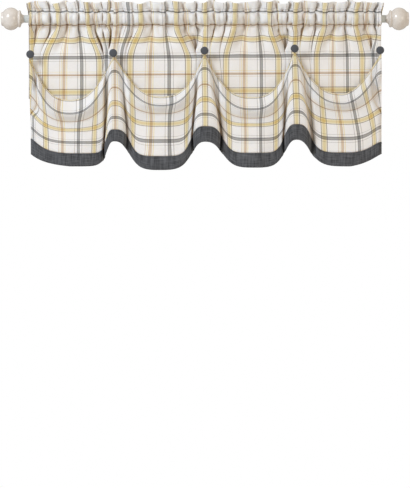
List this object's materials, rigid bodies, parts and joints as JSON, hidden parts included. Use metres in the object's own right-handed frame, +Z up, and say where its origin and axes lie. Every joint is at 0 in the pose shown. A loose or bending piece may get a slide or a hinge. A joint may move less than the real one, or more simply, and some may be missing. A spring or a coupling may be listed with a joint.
{
  "type": "window valance on a curtain rod",
  "caption": "Plaid rod-pocket valance gathered on a round rod with knob finials, tucked up at buttons into scooped swags with a dark hem band.",
  "frame": {"origin": "middle of the rod's axis, halfway between the finials", "axes": "+X along the rod, +Z up, -Y out from the wall towards the room"},
  "size_m": [1.0192, 0.0899, 0.4217],
  "materials": {
    "plaid_cloth": "matte plain-weave cotton blend, off-white with a yellow, tan and grey check",
    "charcoal_band": "matte slubbed plain weave",
    "button_cloth": "matte cloth stretched over a domed button",
    "rod_enamel": "satin",
    "finial_lacquer": "gloss"
  },
  "bodies": {
    "root": {"valance_panel": "plaid_cloth", "hem_band": "charcoal_band", "rod": "rod_enamel", "finial_left": "finial_lacquer", "finial_right": "finial_lacquer", "button_1": "button_cloth", "button_2": "button_cloth", "button_3": "button_cloth", "button_4": "button_cloth", "button_5": "button_cloth"}
  },
  "joints": []
}
